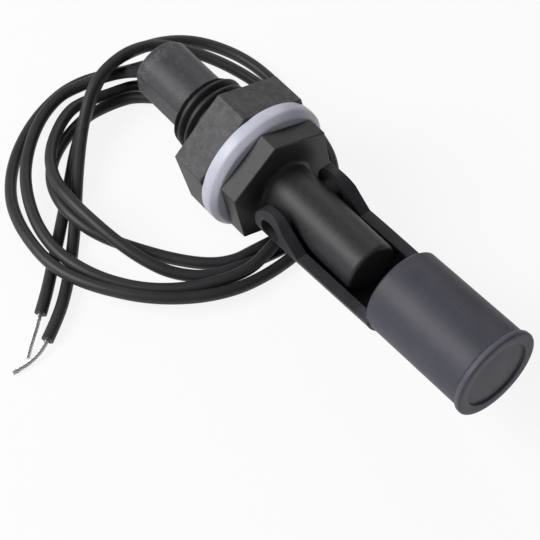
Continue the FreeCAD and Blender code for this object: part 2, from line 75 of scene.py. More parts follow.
# Wires: two single hook-up wires with a soft black vinyl insulation, 2.35 mm thick. They are
# potted side by side in the tail, and lie coiled on the floor in a little over two loose turns
# each, woven over and under one another, with both free ends side by side.
WIRE_DIA = 2.35 * MM
SPLINE_STEPS = 10
BEVEL_STEPS = 5
WIRE_POINTS = (
    np.array([
        (-16.3, 1.3, 0), (-31.5, 1.3, 0), (-37, 1.2, -3), (-41.6, 0.4, -7.6),
        (-45.5, -1.7, -10.8), (-48.2, -4.8, -12.1), (-49.4, -8.7, -11.9), (-49.5, -14.2, -11.7),
        (-47.6, -21.3, -12.1), (-43.9, -27.8, -12.4), (-39.2, -32.8, -12.3),
        (-33.8, -36.4, -11.7), (-27.9, -38.5, -10.9), (-21.7, -39.5, -10.3), (-15.5, -39.6, -9.9),
        (-9.7, -38.1, -9.6), (-4.1, -35.1, -9.5), (2.1, -30.2, -9.9), (7.3, -23.7, -10.2),
        (10.3, -16.7, -10.8), (10.9, -10, -11.8), (10.7, -4, -12.2), (10.3, 3.2, -11.5),
        (8.6, 8.9, -10.7), (5.1, 12.3, -9.8), (0.1, 13.8, -9.4), (-6.5, 13.7, -9.6),
        (-14.2, 12.1, -10.1), (-22.7, 9.4, -10.6), (-31, 6.1, -10.9), (-37.7, 2.4, -11.3),
        (-41.7, -1.2, -11.8), (-43.1, -4.1, -12.4), (-43.8, -7.2, -12.4), (-44.6, -11.1, -11.7),
        (-43.9, -15.4, -10.6), (-40.7, -20.5, -9.7), (-36, -25.4, -8.9), (-30.1, -28.5, -7.8),
        (-23.5, -29.3, -7.1), (-16.2, -28.8, -7.3), (-9.8, -27.6, -8.4), (-4.8, -26, -9.5),
        (0, -23.5, -10.7), (4.5, -18.8, -11.4), (6.4, -13.1, -11.5), (7.3, -7.4, -12.4),
        (8.3, -0.8, -12.4), (7.5, 6.2, -12.4), (3.8, 12.5, -12.2), (-1.9, 16.9, -12),
        (-7.9, 18.8, -12.2), (-13.7, 19.6, -12.4), (-19.3, 20.4, -12.4), (-25.7, 21, -12.2),
        (-32.9, 20.1, -11.7), (-39.2, 17.1, -10.9), (-43.2, 13.1, -9.8), (-45.2, 7.7, -8.3),
        (-45.7, 1.3, -7), (-45.1, -3.9, -6.3), (-43.7, -8.3, -7.1), (-41.4, -12.1, -8.9),
        (-38.7, -16, -10.6), (-35.3, -20.4, -11.8), (-31.1, -24.5, -12.4), (-26.7, -28.7, -12.4),
        (-22.2, -33, -12.3), (-17.5, -37.7, -12.4), (-13.4, -41.7, -12.4), (-10.7, -44.4, -12),
        (-9.1, -46.4, -12.4),
    ]) * MM,
    np.array([
        (-16.3, -1.3, 0), (-31.5, -1.3, 0), (-36.4, -1.4, -3.2), (-40, -1.8, -5.9),
        (-43.6, -2.9, -8.5), (-46.1, -5.6, -10), (-47.5, -10.4, -10.3), (-47.6, -15.4, -9.8),
        (-45.2, -21.8, -10.1), (-40.3, -28, -10.6), (-33.9, -32.8, -10.3), (-25.6, -36.2, -10.2),
        (-17.9, -37.2, -9.9), (-11.9, -36.2, -9.8), (-6.3, -33.7, -10.4), (-0.5, -29.4, -10.8),
        (4.2, -23.9, -10.7), (7.4, -17.7, -10.3), (8.8, -11.9, -10.2), (7.9, -7.4, -10),
        (7, -3.1, -9.9), (7.1, 1, -10.1), (6.7, 4.9, -10), (5, 8.3, -9.8), (1.6, 10.7, -9.7),
        (-3.6, 11.4, -10), (-10.7, 10.4, -10.6), (-18.9, 8.2, -11), (-27.3, 5, -11.1),
        (-34.6, 1.1, -11.3), (-39.2, -3, -11.8), (-40.7, -5.9, -12.3), (-41.4, -9.1, -12.4),
        (-41.7, -12.7, -12.4), (-40.8, -16.8, -12.3), (-38.6, -21.7, -12), (-35, -26.2, -11.2),
        (-29.7, -29.3, -10.1), (-23.7, -30.6, -9.4), (-18.4, -30, -9.6), (-14.6, -28.6, -10.2),
        (-10.2, -26, -10.9), (-3.7, -21.5, -11.8), (1.7, -16.7, -12.3), (4.3, -12.3, -12.4),
        (4.8, -7.9, -12.4), (5.6, -2.4, -12.4), (5.6, 3.7, -12.4), (3, 9.4, -12.3),
        (-2.4, 13.9, -12.1), (-10.3, 16.9, -11.5), (-19.7, 18, -10.9), (-28.3, 16.8, -10.3),
        (-36.4, 13, -8.6), (-43.1, 6.5, -6.1), (-44.2, 0.8, -4.8), (-43.6, -4.2, -4.3),
        (-42.6, -8.7, -4.9), (-40.8, -12.2, -6.3), (-38.4, -15.3, -7.9), (-35.5, -18.4, -9.2),
        (-31.9, -21.6, -10), (-27.7, -25.1, -10.7), (-22.9, -28.9, -11.8), (-18.2, -32.8, -12.3),
        (-13.6, -36.8, -12.4), (-9.6, -40.6, -12.2), (-6.3, -44.4, -12.1), (-3.7, -48.6, -12.4),
    ]) * MM,
)


def finish(name, colour, roughness, specular=0.5, metallic=0.0):
    """Material with one shader, its plain values set on the shader's own sockets."""
    made = bpy.data.materials.new(name)
    made.use_nodes = True
    shader = made.node_tree.nodes["Principled BSDF"]
    shader.inputs["Base Color"].default_value = (*colour, 1)
    shader.inputs["Roughness"].default_value = roughness
    shader.inputs["Specular IOR Level"].default_value = specular
    shader.inputs["Metallic"].default_value = metallic
    return made


def noise(made, size, detail=3.0, roughness=0.5):
    """Factor of a noise on Object coordinates whose features are about size metres wide."""
    nodes = made.node_tree.nodes
    links = made.node_tree.links
    place = nodes.new("ShaderNodeTexCoord")
    mapping = nodes.new("ShaderNodeMapping")
    mapping.inputs["Scale"].default_value = [1 / size] * 3
    pattern = nodes.new("ShaderNodeTexNoise")
    pattern.inputs["Scale"].default_value = 1.0
    pattern.inputs["Detail"].default_value = detail
    pattern.inputs["Roughness"].default_value = roughness
    links.new(place.outputs["Object"], mapping.inputs["Vector"])
    links.new(mapping.outputs["Vector"], pattern.inputs["Vector"])
    return pattern.outputs["Fac"]


def ramp(made, factor, stops):
    """Colour from a factor, by straight lines between (place, colour) stops."""
    node = made.node_tree.nodes.new("ShaderNodeValToRGB")
    elements = node.color_ramp.elements
    while len(elements) < len(stops):
        elements.new(0.5)
    for element, (place, colour) in zip(elements, stops):
        element.position = place
        element.color = (*colour, 1)
    made.node_tree.links.new(factor, node.inputs["Fac"])
    return node.outputs["Color"]


def set_base(made, colour):
    """Joins a colour to the shader's base colour."""
    made.node_tree.links.new(colour, made.node_tree.nodes["Principled BSDF"].inputs["Base Color"])


def set_bump(made, height, depth):
    """Bumps the shader's normal by a height field that is depth metres high in all."""
    node = made.node_tree.nodes.new("ShaderNodeBump")
    node.inputs["Distance"].default_value = depth
    links = made.node_tree.links
    links.new(height, node.inputs["Height"])
    links.new(node.outputs["Normal"], made.node_tree.nodes["Principled BSDF"].inputs["Normal"])


vinyl = finish("black_vinyl", (0.03, 0.029, 0.032), 0.48, 0.42)
set_base(vinyl, ramp(vinyl, noise(vinyl, 6 * MM), [(0.3, (0.026, 0.025, 0.028)),
                                                  (0.7, (0.036, 0.035, 0.038))]))
set_bump(vinyl, noise(vinyl, 0.35 * MM, 2.0), 0.006 * MM)


def route_curve(name, points):
    """Open spline of third order drawn by its control points, from the first to the last."""
    curve = bpy.data.curves.new(name, "CURVE")
    curve.dimensions = "3D"
    curve.resolution_u = SPLINE_STEPS
    spline = curve.splines.new("NURBS")
    spline.points.add(len(points) - 1)
    spline.points.foreach_set("co", np.c_[points, np.ones(len(points))].ravel())
    spline.order_u = 3
    spline.use_endpoint_u = True
    return curve


for number, points in enumerate(WIRE_POINTS, 1):
    curve = route_curve(f"wire_{number}", points)
    curve.bevel_depth = WIRE_DIA / 2
    curve.bevel_resolution = BEVEL_STEPS
    curve.use_fill_caps = True
    curve.materials.append(vinyl)
    wire = bpy.data.objects.new(f"insulated_wire_{number}", curve)
    bpy.context.scene.collection.objects.link(wire)
    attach(wire, "switch")
    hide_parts(f"wire_{number}")


# Wire tips: about 9 mm of each wire's core, bared by hand. Seven tinned copper strands of
# 0.27 mm are twisted once in about 5 mm. Wire 1 stays tight to its end, and wire 2 has
# loosened, so that its last strands stand apart.
STRAND_DIA = 0.27 * MM
STRAND_TWIST = 5.2 * MM
OUTER_STRANDS = 6
TIP_STATIONS = 90
TIP_STEPS = 16
TIP_POINTS = (
    np.array([
        (-9.1, -46.4, -12.4), (-7.2, -48.4, -12.4), (-5.2, -51.1, -12.8), (-3.2, -53.3, -13.1),
    ]) * MM,
    np.array([
        (-3.7, -48.6, -12.4), (-2.8, -49.9, -12.4), (-2.2, -52.2, -12.7), (-2.1, -54.5, -13),
        (-2.4, -57, -13.1),
    ]) * MM,
)
TIP_SPREAD = (0.04, 0.55)


def spline_line(points):
    """Points along the spline of some control points, as Blender draws it."""
    curve = route_curve("guide", points)
    curve.resolution_u = TIP_STEPS
    guide = bpy.data.objects.new("guide", curve)
    bpy.context.scene.collection.objects.link(guide)
    bpy.context.view_layer.update()
    drawn = bpy.data.meshes.new_from_object(guide)
    line = np.empty(3 * len(drawn.vertices))
    drawn.vertices.foreach_get("co", line)
    bpy.data.objects.remove(guide)
    bpy.data.curves.remove(curve)
    bpy.data.meshes.remove(drawn)
    return line.reshape(-1, 3)


def along(line):
    """Distance run from a line's start to each of its points."""
    return np.r_[0, np.cumsum(np.linalg.norm(np.diff(line, axis=0), axis=1))]


def cross_frames(line):
    """Two unit vectors square to a line at each point: the first is the vertical less its share
    along the line, and the second their cross product."""
    ahead = np.gradient(line, axis=0)
    ahead /= np.linalg.norm(ahead, axis=1)[:, None]
    first = np.array([0, 0, 1.0]) - ahead[:, 2:] * ahead
    first /= np.linalg.norm(first, axis=1)[:, None]
    return first, np.cross(ahead, first)


def tube_mesh(name, lines, radius, sides=10):
    """Round tubes along several lines, each a grid of stations by sides, with closed ends: a
    point is the line's point plus radius times (cos, sin) in the frame square to the line."""
    verts = []
    faces = []
    turn = np.linspace(0, 2 * np.pi, sides, endpoint=False)
    for line in lines:
        first, second = cross_frames(line)
        ring = (np.cos(turn)[None, :, None] * first[:, None]
                + np.sin(turn)[None, :, None] * second[:, None])
        start = sum(len(v) for v in verts)
        verts.append((line[:, None] + radius * ring).reshape(-1, 3))
        index = start + np.arange(len(line) * sides).reshape(len(line), sides)
        a = index[:-1]
        b = index[1:]
        quads = np.stack([a, np.roll(a, -1, 1), np.roll(b, -1, 1), b], axis=-1)
        faces += quads.reshape(-1, 4).tolist()
        faces += [index[0, ::-1].tolist(), index[-1].tolist()]
    mesh = bpy.data.meshes.new(name)
    mesh.from_pydata(np.vstack(verts).tolist(), [], faces)
    mesh.shade_smooth()
    return mesh


tinned = finish("tinned_copper", (0.78, 0.77, 0.75), 0.32, 0.5, 1.0)
for number, (points, spread) in enumerate(zip(TIP_POINTS, TIP_SPREAD), 1):
    line = spline_line(points)
    run = along(line)
    steps = np.linspace(0, run[-1], TIP_STATIONS)
    line = np.stack([np.interp(steps, run, line[:, k]) for k in range(3)], axis=1)
    first, second = cross_frames(line)
    loosening = spread * (steps / steps[-1]) ** 3
    strands = [line]
    # each outer strand runs in a helix about the middle one, and loosens by its own share
    for strand in range(OUTER_STRANDS):
        turn = 2 * np.pi * (strand / OUTER_STRANDS + steps / STRAND_TWIST)
        reach = STRAND_DIA * (1.0 + loosening * (0.6 + 0.4 * np.sin(2.4 * strand)))
        strands.append(line + reach[:, None] * (np.cos(turn)[:, None] * first
                                                + np.sin(turn)[:, None] * second))
    tip = bpy.data.objects.new(f"twisted_strands_{number}",
                               tube_mesh(f"twisted_strands_{number}", strands, STRAND_DIA / 2))
    tip.data.materials.append(tinned)
    bpy.context.scene.collection.objects.link(tip)
    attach(tip, "switch")
    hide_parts(f"wire_tip_{number}")


# Tail and threaded shank: the rear half of the switch body, injection moulded in black
# polypropylene. The tail is a round tube with a narrow flat on one side, its end filled with
# resin, and the shank has an M16 x 2 thread, moulded with rounded crests.
TAIL_START = -33.3 * MM
TAIL_RADIUS = 6.1 * MM
TAIL_BEVEL = 0.6 * MM
TAIL_FLAT = 0.55 * MM
TAIL_BORE = 4.2 * MM
TAIL_CHAMFER = 0.25 * MM
TAIL_STATIONS = 28
BORE_SHOWN = 8.0 * MM
THREAD_START = -19.5 * MM
THREAD_END = 2.0 * MM
THREAD_CREST = 7.85 * MM
THREAD_ROOT = 6.68 * MM
THREAD_LEAD_IN = 0.9 * MM
THREAD_PITCH = 2.0 * MM
THREAD_CLOCK = 0.62
THREAD_STATIONS = 230
CREST_HEIGHT = 1.18
FLANK_SLOPE = 2.9
CREST_ROUND = 1.1
SCUFFS_FROM = 0.5 * MM
SCUFFS_TO = 5 * MM
TONE_CHANGE = 1 * MM
ROUND = 160
MIX_FIRST = 6
MIX_SECOND = 7
MIX_RESULT = 2


def skin(rings, closed=(True, True)):
    """Points and faces over rings of points: a quad between two rings and two neighbouring
    directions, and a fan to the ring's middle over each closed end. The rings turn from +Y to
    +Z and go along +X on the outside, which makes the faces point out."""
    count, around = rings.shape[:2]
    index = np.arange(count * around).reshape(count, around)
    ahead = np.roll(index, -1, 1)
    quads = np.stack([index[:-1], ahead[:-1], ahead[1:], index[1:]], axis=-1).reshape(-1, 4)
    points = [rings.reshape(-1, 3)]
    faces = quads.tolist()
    for end, shut in zip((0, -1), closed):
        if shut:
            middle = sum(len(p) for p in points)
            points.append(rings[end].mean(0, keepdims=True))
            pair = (ahead[0], index[0]) if end == 0 else (index[-1], ahead[-1])
            faces += np.stack([np.full(around, middle), *pair], axis=-1).tolist()
    return np.vstack(points), faces


def solid(name, shells, material, body, smooth=35):
    """Object made of one or more closed shells, smooth but for edges sharper than an angle in
    degrees, that rides on a body and takes its finish from a slot."""
    mesh = bpy.data.meshes.new(name)
    points = np.vstack([p for p, _ in shells])
    starts = np.cumsum([0] + [len(p) for p, _ in shells])
    faces = [[int(k) + int(s) for k in face] for s, (_, shell) in zip(starts, shells)
             for face in shell]
    mesh.from_pydata(points.tolist(), [], faces)
    mesh.shade_smooth()
    mesh.set_sharp_from_angle(angle=np.radians(smooth))
    mesh.materials.append(material)
    piece = bpy.data.objects.new(name, mesh)
    bpy.context.scene.collection.objects.link(piece)
    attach(piece, body)
    return piece


def polar(x, radius, turn):
    """Rings about the X axis: (x, radius cos turn, radius sin turn)."""
    x, radius, turn = np.broadcast_arrays(x, radius, turn)
    return np.stack([x, radius * np.cos(turn), radius * np.sin(turn)], axis=-1)


def quarter(start, end, middle, steps=5):
    """(x, radius) pairs on the quarter round about a middle from one angle to the other, given
    in right angles from +X towards the outside."""
    turn = np.linspace(start, end, steps) * np.pi / 2
    return [(middle[0] + middle[2] * np.cos(a), middle[1] + middle[2] * np.sin(a)) for a in turn]


turn = np.linspace(0, 2 * np.pi, ROUND, endpoint=False)[None]

# the tail: bore, rear rim, bevel and outside, whose flat side is the plane y = -(radius - flat)
tail_profile = np.array([
    (TAIL_START + BORE_SHOWN, TAIL_BORE), (TAIL_START + TAIL_CHAMFER, TAIL_BORE),
    (TAIL_START, TAIL_BORE + TAIL_CHAMFER), (TAIL_START, TAIL_RADIUS - TAIL_BEVEL),
    (TAIL_START + 0.18 * MM, TAIL_RADIUS - 0.28 * MM), (TAIL_START + TAIL_BEVEL, TAIL_RADIUS),
])
along_tail = np.linspace(TAIL_START + 1.0 * MM, THREAD_START, TAIL_STATIONS)[1:]
tail_x = np.r_[tail_profile[:, 0], along_tail][:, None]
tail_r = np.r_[tail_profile[:, 1], np.full(len(along_tail), TAIL_RADIUS)][:, None]
facing = np.cos(turn - np.pi)
flat = np.where(facing > 0.5, (TAIL_RADIUS - TAIL_FLAT) / np.maximum(facing, 0.5), np.inf)
tail_rings = polar(tail_x, np.minimum(tail_r, flat), turn)

# the thread: its radius depends on the distance to the crest that turns once in a pitch, with
# flanks of 30 degrees, and it is cut off by the lead-in cone at the shank's start
thread_x = np.linspace(THREAD_START, THREAD_END, THREAD_STATIONS)[:, None]
phase = (thread_x / THREAD_PITCH - turn / (2 * np.pi) + THREAD_CLOCK) % 1.0
ridge = np.clip(CREST_HEIGHT - FLANK_SLOPE * np.abs(phase - 0.5), 0.0, 1.0)
ridge = np.sin(ridge * np.pi / 2) ** CREST_ROUND
thread_r = THREAD_ROOT + (THREAD_CREST - THREAD_ROOT) * ridge
cone = THREAD_CREST - THREAD_LEAD_IN + np.maximum(thread_x - THREAD_START, 0)
thread_rings = polar(thread_x, np.minimum(thread_r, cone), turn)

def zone(made, start, end):
    """Factor that rises from 0 to 1 between two places along X."""
    nodes = made.node_tree.nodes
    links = made.node_tree.links
    place = nodes.new("ShaderNodeTexCoord")
    split = nodes.new("ShaderNodeSeparateXYZ")
    rise = nodes.new("ShaderNodeMapRange")
    rise.inputs["From Min"].default_value = start
    rise.inputs["From Max"].default_value = end
    links.new(place.outputs["Object"], split.inputs[0])
    links.new(split.outputs["X"], rise.inputs["Value"])
    return rise.outputs["Result"]


def blend(made, factor, first, second):
    """Colour that goes from the first to the second as the factor goes from 0 to 1. A Mix node
    has its number, vector and colour sockets one after another."""
    node = made.node_tree.nodes.new("ShaderNodeMix")
    node.data_type = "RGBA"
    links = made.node_tree.links
    links.new(factor, node.inputs["Factor"])
    links.new(first, node.inputs[MIX_FIRST])
    links.new(second, node.inputs[MIX_SECOND])
    return node.outputs[MIX_RESULT]


# the tail has been handled and is paler than the rest of the body, with scuffs near its end
polypropylene = finish("black_polypropylene", (0.04, 0.04, 0.042), 0.48, 0.38)
grain = noise(polypropylene, 0.9 * MM, 4.0, 0.65)
moulded = ramp(polypropylene, grain, [(0.3, (0.026, 0.026, 0.029)), (0.7, (0.042, 0.041, 0.044))])
handled = ramp(polypropylene, grain, [(0.3, (0.05, 0.05, 0.056)), (0.7, (0.078, 0.077, 0.084))])
scuffs = ramp(polypropylene, noise(polypropylene, 1.8 * MM, 7.0, 0.75),
              [(0.52, (0, 0, 0)), (0.6, (1, 1, 1))])
scuffed = blend(polypropylene, scuffs, handled,
                ramp(polypropylene, grain, [(0.3, (0.09, 0.09, 0.1)), (0.7, (0.14, 0.14, 0.15))]))
unscuffed = zone(polypropylene, TAIL_START + SCUFFS_FROM, TAIL_START + SCUFFS_TO)
tail_look = blend(polypropylene, unscuffed, scuffed, handled)
off_tail = zone(polypropylene, THREAD_START - TONE_CHANGE, THREAD_START + TONE_CHANGE)
set_base(polypropylene, blend(polypropylene, off_tail, tail_look, moulded))
set_bump(polypropylene, noise(polypropylene, 0.22 * MM, 3.0, 0.6), 0.012 * MM)

shank = solid("tail_and_thread", [skin(np.concatenate([tail_rings, thread_rings]))],
              polypropylene, "switch")
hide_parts("body")


# Flange: the hexagon that the body is held by while the nut is tightened, 21 mm across its
# flats and one with the body. Its edges are nearly sharp, as they come out of the mould.
FLANGE_WIDTH = 21.0 * MM
FLANGE_THICK = 4.1 * MM
FLANGE_TURN = -21.3
FLANGE_EDGE = 0.22 * MM
REAR_FACE = (7.0 * MM, 9.6 * MM)
FRONT_FACE = (5.0 * MM, 8.0 * MM)


def hexagon(width, inset, turn, edge):
    """Ring round a hexagon whose flats are width apart, moved in by inset, with its six edges
    rounded: arcs of the edge's radius about the corners of a hexagon that is smaller by that
    radius, and steps along the flats between them, with one close to each end of a flat so
    that it is shaded as a plane."""
    core = (width / 2 - inset - edge) / np.cos(np.pi / 6)
    corner = np.radians(turn) + np.arange(6) * np.pi / 3
    arc = np.radians(np.linspace(-30, 30, 4))[None]
    y = core * np.cos(corner)[:, None] + edge * np.cos(corner[:, None] + arc)
    z = core * np.sin(corner)[:, None] + edge * np.sin(corner[:, None] + arc)
    arcs = np.stack([y, z], axis=-1)
    share = np.r_[0.01, np.linspace(0.1, 0.9, 8), 0.99][None, :, None]
    flats = arcs[:, -1:] * (1 - share) + np.roll(arcs, -1, 0)[:, :1] * share
    return np.concatenate([arcs, flats], axis=1).reshape(-1, 2)


def hexagonal(stations, width, turn, edge):
    """Rings along X from (x, inset) pairs; an inset of None is a round ring instead, given as
    (x, None, radius), in the directions of the hexagon's points."""
    rings = []
    shape = hexagon(width, 0, turn, edge)
    for x, inset, *radius in stations:
        if inset is None:
            ring = shape / np.linalg.norm(shape, axis=1)[:, None] * radius[0]
        else:
            ring = hexagon(width, inset, turn, edge)
        rings.append(np.c_[np.full(len(ring), x), ring])
    return np.array(rings)


def rim(x, edge, inward):
    """Stations over a hexagon's rounded rim, from its face at x to its flats: insets and
    distances inward that follow a round of the edge's radius, with one more on each side."""
    return [(x, 1.2 * edge), (x, edge), (x + inward * 0.3 * edge, 0.3 * edge),
            (x + inward * edge, 0), (x + inward * 1.2 * edge, 0)]


flange_stations = [(0, None, REAR_FACE[0]), (0, None, REAR_FACE[1])]
flange_stations += rim(0, FLANGE_EDGE, 1) + rim(FLANGE_THICK, FLANGE_EDGE, -1)[::-1]
flange_stations += [(FLANGE_THICK, None, FRONT_FACE[1]), (FLANGE_THICK, None, FRONT_FACE[0])]
solid("hexagonal_flange",
      [skin(hexagonal(flange_stations, FLANGE_WIDTH, FLANGE_TURN, FLANGE_EDGE))],
      polypropylene, "switch", 22)


# Stem and trunnions: the closed tube that holds the reed switch, with a small round at its foot
# and at its tip. Two pins on its sides carry the float; their ends were broken off the runner
# of the mould, and are left rough inside the eyes.
STEM_RADIUS = 5.175 * MM
STEM_END = 28.1 * MM
STEM_ROUND = 0.8 * MM
STEM_FOOT = 0.9 * MM
STEM_STATIONS = np.linspace(6, 27, 43) * MM
PIVOT_X = 10.3 * MM
PIN_RADIUS = 2.3 * MM
PIN_REACH = 8.05 * MM
PIN_SINK = 1.5 * MM

stem_profile = [(FLANGE_THICK - 1.0 * MM, STEM_RADIUS + STEM_FOOT)]
stem_profile += quarter(2, 3, (FLANGE_THICK + STEM_FOOT, STEM_RADIUS + STEM_FOOT, STEM_FOOT), 7)
stem_profile += [(x, STEM_RADIUS) for x in STEM_STATIONS]
stem_profile += quarter(1, 0, (STEM_END - STEM_ROUND, STEM_RADIUS - STEM_ROUND, STEM_ROUND), 7)
stem_profile += [(STEM_END, r * MM) for r in (3.2, 2.0, 0.8)]
stem_profile = np.array(stem_profile)
stem_shell = skin(polar(stem_profile[:, :1], stem_profile[:, 1:], turn))


def trunnion(side):
    """Pin on one side: rings along Y whose end is the lowest of a few tilted planes, so that it
    is broken into facets. Its points (x, y, z) come from rings about X by one turn of the axes,
    and the ring's sense is reversed on one side to keep the faces out."""
    radius = np.array([1, 1, 1, 0.97, 0.9, 0.72, 0.48, 0.22])[:, None] * PIN_RADIUS
    reach = np.array([3.0, 5.5, 7.1, 7.25, 7.3, 7.3, 7.3, 7.3])[:, None] * MM
    spin = side * turn[:, ::4]
    u = radius * np.cos(spin)
    v = radius * np.sin(spin)
    planes = [(0.12, 0.55, 0.2), (0.55, -0.35, 0.42), (-0.5, -0.3, 0.62), (-0.15, 0.05, 0.5)]
    facets = np.min([a * u + b * v + c * MM for a, b, c in planes], axis=0)
    facets = np.clip(facets + PIN_REACH - PIN_SINK, 0, PIN_REACH)
    y = np.where(reach > 7.2 * MM, facets, reach)
    return skin(np.stack([PIVOT_X + v, side * y, u], axis=-1))


solid("stem_and_trunnions", [stem_shell, trunnion(1), trunnion(-1)], polypropylene,
      "switch", 28)


# Lock nut: black polypropylene, 24 mm across its flats and 7.5 mm thick, turned on behind the
# tank wall. Its moulded faces are duller and greyer than the body.
NUT_WIDTH = 24.0 * MM
NUT_START = -11.0 * MM
NUT_END = -3.5 * MM
NUT_TURN = -19.0
NUT_EDGE = 0.2 * MM
NUT_BORE = 7.91 * MM
NUT_MOUTH = 0.6 * MM
NUT_FACE = 10.8 * MM

nut_stations = [(NUT_END, None, NUT_BORE + NUT_MOUTH), (NUT_END - NUT_MOUTH, None, NUT_BORE),
                (NUT_START + NUT_MOUTH, None, NUT_BORE), (NUT_START, None, NUT_BORE + NUT_MOUTH),
                (NUT_START, None, NUT_FACE)]
nut_stations += rim(NUT_START, NUT_EDGE, 1) + rim(NUT_END, NUT_EDGE, -1)[::-1]
nut_stations += [(NUT_END, None, NUT_FACE), (NUT_END, None, NUT_BORE + NUT_MOUTH)]
nut_points, nut_faces = skin(hexagonal(nut_stations, NUT_WIDTH, NUT_TURN, NUT_EDGE),
                             (False, False))

nut_plastic = finish("nut_polypropylene", (0.06, 0.06, 0.062), 0.55, 0.4)
cloud = noise(nut_plastic, 1.4 * MM, 6.0, 0.75)
set_base(nut_plastic, ramp(nut_plastic, cloud, [(0.36, (0.045, 0.045, 0.048)),
                                                (0.64, (0.1, 0.098, 0.104))]))
set_bump(nut_plastic, noise(nut_plastic, 0.2 * MM, 4.0, 0.65), 0.02 * MM)

nut = solid("lock_nut_hexagon", [(nut_points, nut_faces)], nut_plastic, "nut",
            22)
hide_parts("lock_nut")


# Gasket: a ring moulded in milky silicone rubber, bevelled on its side towards the flange, that
# seals the hole in the tank. It bulges a little between the nut and the flange.
GASKET_RADIUS = 13.1 * MM
GASKET_HOLE = 8.1 * MM
GASKET_START = -3.5 * MM
GASKET_BEVEL = 1.1 * MM
GASKET_ROUND = 0.3 * MM

gasket_profile = [(0.0, GASKET_HOLE), (GASKET_START, GASKET_HOLE)]
gasket_profile += quarter(2, 1, (GASKET_START + GASKET_ROUND, GASKET_RADIUS - GASKET_ROUND,
                                 GASKET_ROUND))
gasket_profile += [(x * MM, GASKET_RADIUS + b * MM) for x, b in
                   ((-2.9, 0.03), (-2.4, 0.05), (-1.9, 0.05), (-1.45, 0.02))]
gasket_profile += [(-GASKET_BEVEL - 0.1 * MM, GASKET_RADIUS - 0.03 * MM),
                   (-GASKET_BEVEL + 0.12 * MM, GASKET_RADIUS - 0.16 * MM),
                   (-0.25 * MM, GASKET_RADIUS - GASKET_BEVEL + 0.28 * MM),
                   (-0.06 * MM, GASKET_RADIUS - GASKET_BEVEL + 0.08 * MM),
                   (0.0, GASKET_RADIUS - GASKET_BEVEL - 0.1 * MM), (0.0, GASKET_HOLE)]
gasket_profile = np.array(gasket_profile)

silicone = finish("milky_silicone", (0.66, 0.67, 0.78), 0.38, 0.5)
shader = silicone.node_tree.nodes["Principled BSDF"]
shader.inputs["Subsurface Weight"].default_value = 0.25
shader.inputs["Subsurface Scale"].default_value = 1.2 * MM
shader.inputs["Subsurface Radius"].default_value = (1.0, 1.0, 1.0)
milk = noise(silicone, 3.0 * MM, 2.0)
set_base(silicone, ramp(silicone, milk, [(0.25, (0.62, 0.635, 0.76)),
                                         (0.75, (0.7, 0.7, 0.8))]))
set_bump(silicone, noise(silicone, 0.5 * MM, 2.0), 0.01 * MM)

gasket = solid("silicone_ring", [skin(polar(gasket_profile[:, :1], gasket_profile[:, 1:], turn),
                                      (False, False))],
               silicone, "switch", 40)
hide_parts("gasket")


# Float: one moulding of black polypropylene, a hollow cylinder and the fork whose two eyes turn
# on the trunnions. Its sharp edges are rolled over, the mould's parting line stands up along
# the upper side, and the cylinder has a paler bloom than the fork.
FLOAT_REST = 4.0
FLOAT_RISE = 0.5 * MM
FLOAT_START = 24.9 * MM
FLOAT_RADIUS = 8.1 * MM
FLOAT_END = 46.9 * MM
EDGE_ROLL = 0.2 * MM
SHARP_EDGE = 32
MERGED_WITHIN = 0.002 * MM
BLOOM_CHANGE = 3 * MM
PARTING_TURN = 88.9
PARTING_WIDTH = 0.16 * MM
PARTING_HEIGHT = 0.05 * MM
PARTING_SINK = 0.03 * MM


def softened(name, node, width):
    """Copy of a solid's mesh with its loose triangles joined into flat faces, and a bevel of
    some width with two steps on each sharp edge."""
    copy = bmesh.new()
    copy.from_mesh(node.data)
    bmesh.ops.remove_doubles(copy, verts=copy.verts, dist=MERGED_WITHIN)
    bmesh.ops.dissolve_limit(copy, angle_limit=np.radians(0.6), verts=copy.verts,
                             edges=copy.edges)
    mesh = bpy.data.meshes.new(name)
    copy.to_mesh(mesh)
    copy.free()
    mesh.shade_smooth()
    mesh.set_sharp_from_angle(angle=np.radians(SHARP_EDGE))
    piece = bpy.data.objects.new(name, mesh)
    bpy.context.scene.collection.objects.link(piece)
    roll = piece.modifiers.new("rolled_edges", "BEVEL")
    roll.width = width
    roll.segments = 2
    roll.limit_method = "ANGLE"
    roll.angle_limit = np.radians(SHARP_EDGE)
    roll.use_clamp_overlap = True
    return piece


def tilted(points):
    """Points measured from the pivot along the level float, raised to where it rests: turned
    about the pivot by the rest angle."""
    a = np.radians(FLOAT_REST)
    x = points[..., 0]
    z = points[..., 2]
    return np.stack([PIVOT_X + x * np.cos(a) - z * np.sin(a), points[..., 1],
                     x * np.sin(a) + z * np.cos(a)], axis=-1)


foam = finish("float_polypropylene", (0.065, 0.065, 0.085), 0.52, 0.35)
blotch = noise(foam, 5 * MM, 3.0, 0.6)
barrel_look = ramp(foam, blotch, [(0.3, (0.058, 0.058, 0.075)), (0.7, (0.074, 0.073, 0.094))])
fork_look = ramp(foam, blotch, [(0.3, (0.026, 0.026, 0.031)), (0.7, (0.037, 0.037, 0.044))])
barrel_start = zone(foam, FLOAT_START + PIVOT_X - BLOOM_CHANGE, FLOAT_START + PIVOT_X)
set_base(foam, blend(foam, barrel_start, fork_look, barrel_look))
set_bump(foam, noise(foam, 0.25 * MM, 3.0, 0.6), 0.01 * MM)

float_piece = softened("float_with_fork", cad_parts["float_shell"], EDGE_ROLL)
float_piece.data.materials.clear()
float_piece.data.materials.append(foam)
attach(float_piece, "float")
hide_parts("float_shell")

